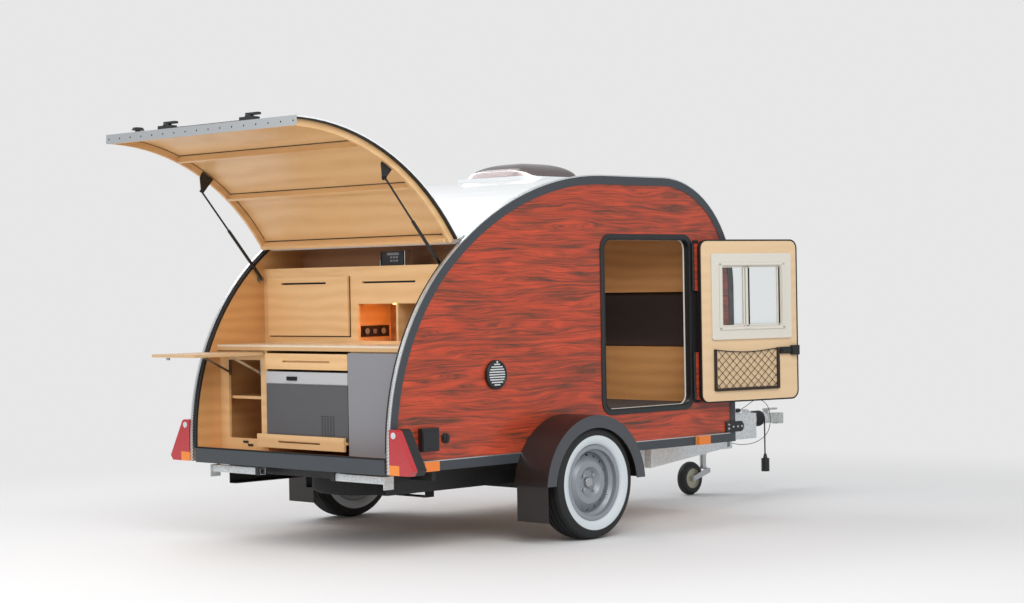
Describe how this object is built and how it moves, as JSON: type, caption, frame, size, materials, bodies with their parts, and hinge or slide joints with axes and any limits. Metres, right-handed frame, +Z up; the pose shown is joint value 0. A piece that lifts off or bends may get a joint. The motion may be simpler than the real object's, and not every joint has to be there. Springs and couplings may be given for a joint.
{
  "type": "teardrop trailer",
  "caption": "Teardrop camping trailer with a lifting rear hatch over a galley, side doors, a bed cabin, a drawbar with jockey wheel and a ball coupling.",
  "frame": {"origin": "centre of the ball socket in the coupling head", "axes": "+X forwards, out of the coupling's nose; +Y to the trailer's left; +Z up, with the trailer level on its wheels and jockey wheel"},
  "size_m": [4.6507, 2.06, 2.1544],
  "materials": {
    "wall_laminate": "gloss laminate, reddish brown grain",
    "white_skin": "satin white",
    "charcoal_trim": "satin charcoal",
    "bright_bead": "ribbed aluminium",
    "birch_ply": "clear varnish",
    "door_lining": "pale varnished ply",
    "black_rubber": "matt",
    "cushion_cloth": "dark brown cloth",
    "grey_panel": "fine grain",
    "black_plastic": "fine grain",
    "steel_parts": "bright zinc",
    "frame_cream": "satin",
    "window_acrylic": "clear",
    "smoked_acrylic": "smoked",
    "lamp_lens": "clear red",
    "galvanised": "hot dip zinc",
    "axle_paint": "black",
    "guard_plastic": "black, grey rim",
    "tyre_rubber": "black with a white band",
    "wheel_paint": "silver",
    "coupling_zinc": "zinc",
    "cable_sheath": "matt",
    "fridge_shell": "dark grey with a light lid",
    "strut_black": "gloss black",
    "rod_steel": "polished"
  },
  "bodies": {
    "trailer": {"floor_pan": "birch_ply", "side_wall_right": "wall_laminate", "side_wall_left": "wall_laminate", "roof_panel": "white_skin", "edge_trims": "charcoal_trim", "edge_beads": "bright_bead", "rear_sill": "charcoal_trim", "hatch_seal": "black_rubber", "bulkhead": "birch_ply", "lower_cabinet": "birch_ply", "worktop": "birch_ply", "upper_cabinet": "birch_ply", "service_panel": "grey_panel", "galley_electrics": "black_plastic", "galley_brackets": "steel_parts", "cabin_furniture": "birch_ply", "cushions": "cushion_cloth", "skylight_frame": "white_skin", "wall_fittings": "black_plastic", "lamps": "lamp_lens", "door_frames": "charcoal_trim", "chassis_frame": "galvanised", "drawbar": "galvanised", "axle_beam": "axle_paint", "mudguards": "guard_plastic", "spare_wheel": "tyre_rubber", "jockey_mast": "galvanised", "overrun_unit": "coupling_zinc", "coupling_head": "coupling_zinc", "power_cable": "cable_sheath", "power_cable_coil": "cable_sheath", "power_plug": "black_plastic", "breakaway_cable": "cable_sheath"},
    "hatch": {"hatch_skin": "white_skin", "hatch_ribs": "birch_ply", "hatch_fittings": "black_plastic"},
    "strut_tubes": {"strut_tubes": "strut_black"},
    "strut_rods": {"strut_rods": "rod_steel"},
    "flap_table": {"flap_table": "birch_ply"},
    "flap_braces": {"flap_braces": "steel_parts"},
    "upper_door": {"upper_door": "birch_ply"},
    "cutlery_drawer": {"cutlery_drawer": "birch_ply"},
    "fridge_tray": {"fridge_tray": "birch_ply", "fridge": "fridge_shell"},
    "right_door": {"door_right": "door_lining", "door_window_right": "frame_cream", "door_glass_right": "window_acrylic"},
    "left_door": {"door_left": "wall_laminate", "door_window_left": "frame_cream", "door_glass_left": "window_acrylic"},
    "skylight_dome": {"skylight_dome": "smoked_acrylic"},
    "right_wheel": {"tyre_right": "tyre_rubber", "rim_right": "wheel_paint"},
    "left_wheel": {"tyre_left": "tyre_rubber", "rim_left": "wheel_paint"},
    "right_steady": {"steady_right": "galvanised"},
    "left_steady": {"steady_left": "galvanised"},
    "jockey_stem": {"jockey_stem": "steel_parts"},
    "jockey_fork": {"jockey_fork": "steel_parts"},
    "jockey_wheel": {"jockey_wheel": "tyre_rubber"}
  },
  "joints": [
    {"name": "hatch_hinge", "type": "hinge", "parent": "trailer", "child": "hatch", "pos_m": [-3.56613, 0, 1.13042], "axis": [0, -1, 0], "range_deg": [0, 92.5]},
    {"name": "strut_tube_pivot", "type": "hinge", "parent": "trailer", "child": "strut_tubes", "pos_m": [-3.63, 0, 0.949], "axis": [0, -1, 0], "range_deg": [0, 104.69]},
    {"name": "strut_rod_slide", "type": "slide", "parent": "strut_tubes", "child": "strut_rods", "axis": [-0.6482, 0, 0.7615], "range_m": [-0.25884, 0]},
    {"name": "flap_table_hinge", "type": "hinge", "parent": "trailer", "child": "flap_table", "pos_m": [-3.912, 0, 0.542], "axis": [0, -1, 0], "range_deg": [0, 90]},
    {"name": "flap_brace_pivot", "type": "hinge", "parent": "trailer", "child": "flap_braces", "pos_m": [-3.9, 0, 0.446], "axis": [0, -1, 0], "range_deg": [0, 118]},
    {"name": "upper_door_hinge", "type": "hinge", "parent": "trailer", "child": "upper_door", "pos_m": [-3.603, 0, 0.954], "axis": [0, -1, 0], "range_deg": [-85, 0]},
    {"name": "cutlery_drawer_slide", "type": "slide", "parent": "trailer", "child": "cutlery_drawer", "axis": [1, 0, 0], "range_m": [-0.38, 0]},
    {"name": "fridge_tray_slide", "type": "slide", "parent": "trailer", "child": "fridge_tray", "axis": [1, 0, 0], "range_m": [-0.45, 0]},
    {"name": "right_door_hinge", "type": "hinge", "parent": "trailer", "child": "right_door", "pos_m": [-1.792, -0.8035, 0.67], "axis": [0, 0, -1], "range_deg": [0, 168]},
    {"name": "left_door_hinge", "type": "hinge", "parent": "trailer", "child": "left_door", "pos_m": [-1.792, 0.8035, 0.67], "axis": [0, 0, 1], "range_deg": [-168, 0]},
    {"name": "skylight_dome_hinge", "type": "hinge", "parent": "trailer", "child": "skylight_dome", "pos_m": [-2.064, 0, 1.499], "axis": [0, -1, 0], "range_deg": [-45, 0]},
    {"name": "right_wheel_spin", "type": "hinge", "parent": "trailer", "child": "right_wheel", "pos_m": [-2.86, -0.9385, -0.1365], "axis": [0, 1, 0], "continuous": true},
    {"name": "left_wheel_spin", "type": "hinge", "parent": "trailer", "child": "left_wheel", "pos_m": [-2.86, 0.9385, -0.1365], "axis": [0, 1, 0], "continuous": true},
    {"name": "right_steady_pivot", "type": "hinge", "parent": "trailer", "child": "right_steady", "pos_m": [-4.005, -0.3, -0.057], "axis": [-1, 0, 0], "range_deg": [-60, 0]},
    {"name": "left_steady_pivot", "type": "hinge", "parent": "trailer", "child": "left_steady", "pos_m": [-4.005, 0.3, -0.057], "axis": [1, 0, 0], "range_deg": [-60, 0]},
    {"name": "jockey_height", "type": "slide", "parent": "trailer", "child": "jockey_stem", "axis": [0, 0, 1], "range_m": [-0.12, 0.07]},
    {"name": "jockey_swivel", "type": "hinge", "parent": "jockey_stem", "child": "jockey_fork", "pos_m": [-0.62, 0.115, -0.265], "axis": [0, 0, 1], "continuous": true},
    {"name": "jockey_wheel_spin", "type": "hinge", "parent": "jockey_fork", "child": "jockey_wheel", "pos_m": [-0.75, 0.115, -0.327], "axis": [0, 1, 0], "continuous": true}
  ],
  "couplings": [
    {"joint": "strut_tube_pivot", "follows": "hatch_hinge", "ratio": 1.1317},
    {"joint": "strut_rod_slide", "follows": "hatch_hinge", "m_per_rad": -0.16033},
    {"joint": "flap_table_hinge", "follows": "hatch_hinge", "ratio": 0.97297},
    {"joint": "flap_brace_pivot", "follows": "hatch_hinge", "ratio": 1.2757}
  ]
}
